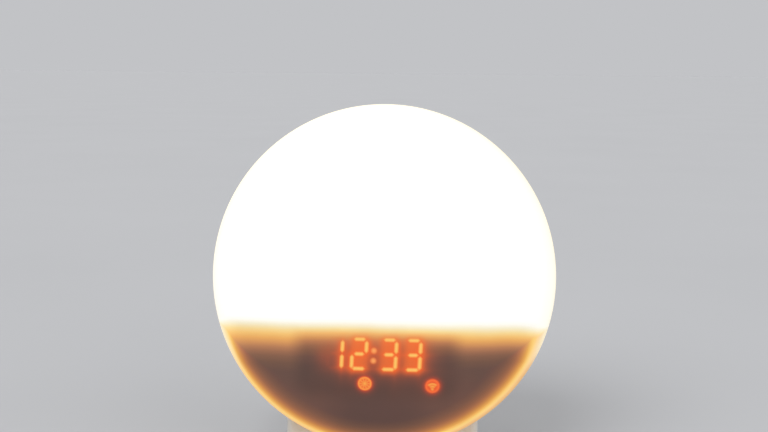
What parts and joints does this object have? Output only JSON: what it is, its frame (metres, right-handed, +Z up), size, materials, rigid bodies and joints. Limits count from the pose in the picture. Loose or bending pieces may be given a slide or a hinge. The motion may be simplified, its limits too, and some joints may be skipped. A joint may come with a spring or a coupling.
{
  "type": "sunrise alarm clock",
  "caption": "Round bedside wake-up lamp on a low foot: lit diffuser dome above a straight baffle line, orange digits below it, side keys, rear speaker grille.",
  "frame": {"origin": "middle of the clock's box, at the plane its rubber feet rest on", "axes": "+X to the right seen from the front, +Y to the back, +Z up"},
  "size_m": [0.1728, 0.1044, 0.1787],
  "materials": {
    "diffuser": "satin translucent white",
    "shell": "satin moulded",
    "ring": "satin moulded",
    "key": "satin moulded",
    "rubber": "matte",
    "base": "matte moulded",
    "screw": "plated",
    "reflector": "matte white",
    "led_board": "white solder mask",
    "board": "green solder mask",
    "led": "phosphor",
    "shroud": "matte moulded",
    "black_plastic": "matte",
    "lit_segment": "lit light guide",
    "unlit_segment": "smoked light guide",
    "icon_lens": "tinted lens",
    "chip": "moulded epoxy",
    "capacitor": "sleeved",
    "connector": "moulded",
    "holder": "moulded",
    "cell": "bright",
    "steel": "satin",
    "speaker_metal": "black",
    "paper": "paper cone",
    "foam": "foam",
    "magnet": "ferrite",
    "brass": "plated",
    "ribbon": "flat cable"
  },
  "bodies": {
    "case": {"diffuser_dome": "diffuser", "side_ring": "ring", "rear_housing": "shell", "foot_shell": "shell", "base_plate": "base", "rubber_feet": "rubber", "base_screws": "screw", "foot_screws": "screw", "rear_screws": "screw", "reflector": "reflector", "reflector_screws": "screw", "led_board": "led_board", "led_chips": "led", "led_board_screws": "screw", "display_shroud": "shroud", "display_frame": "black_plastic", "lit_segments": "lit_segment", "unlit_segments": "unlit_segment", "icon_lenses": "icon_lens", "display_board": "board", "display_chips": "led", "display_screws": "screw", "main_board": "board", "main_board_screws": "screw", "board_chips": "chip", "board_capacitors": "capacitor", "board_connectors": "connector", "coin_cell_holder": "holder", "coin_cell": "cell", "speaker_basket": "speaker_metal", "speaker_cone": "paper", "speaker_magnet": "magnet", "speaker_gasket": "foam", "speaker_screws": "screw", "dc_jack": "black_plastic", "dc_jack_pin": "brass", "usb_socket": "steel", "usb_tongue": "black_plastic", "key_board_left": "board", "key_board_right": "board", "key_switches": "chip", "display_ribbon": "ribbon", "key_ribbons": "ribbon", "led_lead": "ribbon", "speaker_lead": "ribbon"},
    "key_snooze": {"key_snooze": "key"},
    "key_radio": {"key_radio": "key"},
    "key_sound": {"key_sound": "key"},
    "key_volume": {"key_volume": "key"},
    "key_light": {"key_light": "key"},
    "key_colour": {"key_colour": "key"},
    "key_alarm": {"key_alarm": "key"},
    "key_time": {"key_time": "key"}
  },
  "joints": [
    {"name": "key_snooze_press", "type": "slide", "parent": "case", "child": "key_snooze", "axis": [1, 0, 0], "range_m": [0, 0.0005], "stiffness_N_per_m": 600},
    {"name": "key_radio_press", "type": "slide", "parent": "case", "child": "key_radio", "axis": [1, 0, 0], "range_m": [0, 0.0005], "stiffness_N_per_m": 600},
    {"name": "key_sound_press", "type": "slide", "parent": "case", "child": "key_sound", "axis": [1, 0, 0], "range_m": [0, 0.0005], "stiffness_N_per_m": 600},
    {"name": "key_volume_press", "type": "slide", "parent": "case", "child": "key_volume", "axis": [1, 0, 0], "range_m": [0, 0.0005], "stiffness_N_per_m": 600},
    {"name": "key_light_press", "type": "slide", "parent": "case", "child": "key_light", "axis": [-1, 0, 0], "range_m": [0, 0.0005], "stiffness_N_per_m": 600},
    {"name": "key_colour_press", "type": "slide", "parent": "case", "child": "key_colour", "axis": [-1, 0, 0], "range_m": [0, 0.0005], "stiffness_N_per_m": 600},
    {"name": "key_alarm_press", "type": "slide", "parent": "case", "child": "key_alarm", "axis": [-1, 0, 0], "range_m": [0, 0.0005], "stiffness_N_per_m": 600},
    {"name": "key_time_press", "type": "slide", "parent": "case", "child": "key_time", "axis": [-1, 0, 0], "range_m": [0, 0.0005], "stiffness_N_per_m": 600}
  ]
}
